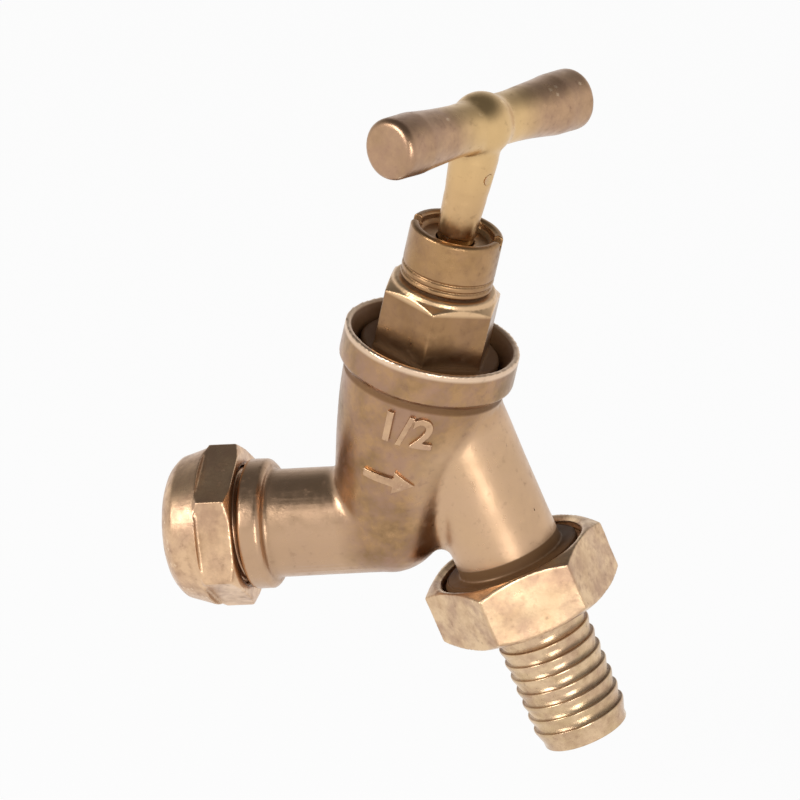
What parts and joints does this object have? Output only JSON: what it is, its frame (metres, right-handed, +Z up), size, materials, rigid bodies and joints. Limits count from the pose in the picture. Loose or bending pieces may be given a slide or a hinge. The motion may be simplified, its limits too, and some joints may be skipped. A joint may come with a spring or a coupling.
{
  "type": "garden tap",
  "caption": "Cast garden tap with a rising spindle, crutch handle, compression inlet for copper pipe, and a union nut holding a barbed hose tail.",
  "frame": {"origin": "centre of the pipe socket's mouth in the cast body, where the pipe passes out of the body into the olive", "axes": "+X forward along the pipe's axis from the wall to the user, +Z up, and the headwork leans forward in the XZ plane"},
  "size_m": [0.0814, 0.0488, 0.1258],
  "materials": {
    "body_casting": "cast, lightly polished",
    "bonnet_brass": "turned",
    "fibre_washer": "red fibre",
    "spindle_brass": "turned bright",
    "turned_brass": "turned",
    "packing": "greased woven cord",
    "gland_brass": "turned",
    "handle_casting": "cast, polished",
    "valve_rubber": "moulded",
    "union_brass": "cast hexagon",
    "union_rubber": "moulded",
    "tail_brass": "turned bright",
    "inlet_nut_brass": "stamped and turned",
    "olive_copper": "turned ring"
  },
  "bodies": {
    "body": {"tap_body": "body_casting", "bonnet": "bonnet_brass", "bonnet_washer": "fibre_washer", "packing_washer": "turned_brass", "gland_packing_lower": "packing", "gland_packing_upper": "packing", "gland_nut": "gland_brass"},
    "valve": {"jumper": "turned_brass", "jumper_washer": "valve_rubber", "jumper_nut": "turned_brass"},
    "spindle": {"spindle": "spindle_brass", "crutch_handle": "handle_casting", "handle_pin": "turned_brass"},
    "tail": {"hose_tail": "tail_brass", "union_washer": "union_rubber"},
    "union": {"union_nut": "union_brass"},
    "olive": {"olive": "olive_copper"},
    "inlet_nut": {"compression_nut": "inlet_nut_brass"}
  },
  "joints": [
    {"name": "valve_lift", "type": "slide", "parent": "body", "child": "valve", "axis": [0.342, 0, 0.9397], "range_m": [0, 0.0055]},
    {"name": "spindle_turn", "type": "hinge", "parent": "valve", "child": "spindle", "pos_m": [0.04431, 0, 0.03383], "axis": [0.342, 0, 0.9397], "range_deg": [0, 900]},
    {"name": "tail_slide", "type": "slide", "parent": "body", "child": "tail", "axis": [0.2588, 0, -0.9659], "range_m": [0, 0.00454]},
    {"name": "union_turn", "type": "hinge", "parent": "tail", "child": "union", "pos_m": [0.0425, 0, 0.02885], "axis": [0.2588, 0, -0.9659], "range_deg": [0, 900]},
    {"name": "olive_slide", "type": "slide", "parent": "body", "child": "olive", "axis": [-1, 0, 0], "range_m": [0, 0.00544]},
    {"name": "inlet_nut_turn", "type": "hinge", "parent": "olive", "child": "inlet_nut", "pos_m": [0, 0, 0], "axis": [-1, 0, 0], "range_deg": [0, 1080]}
  ],
  "couplings": [
    {"joint": "valve_lift", "follows": "spindle_turn", "m_per_rad": 0.00035014},
    {"joint": "tail_slide", "follows": "union_turn", "m_per_rad": 0.00028871},
    {"joint": "olive_slide", "follows": "inlet_nut_turn", "m_per_rad": 0.00028871}
  ]
}
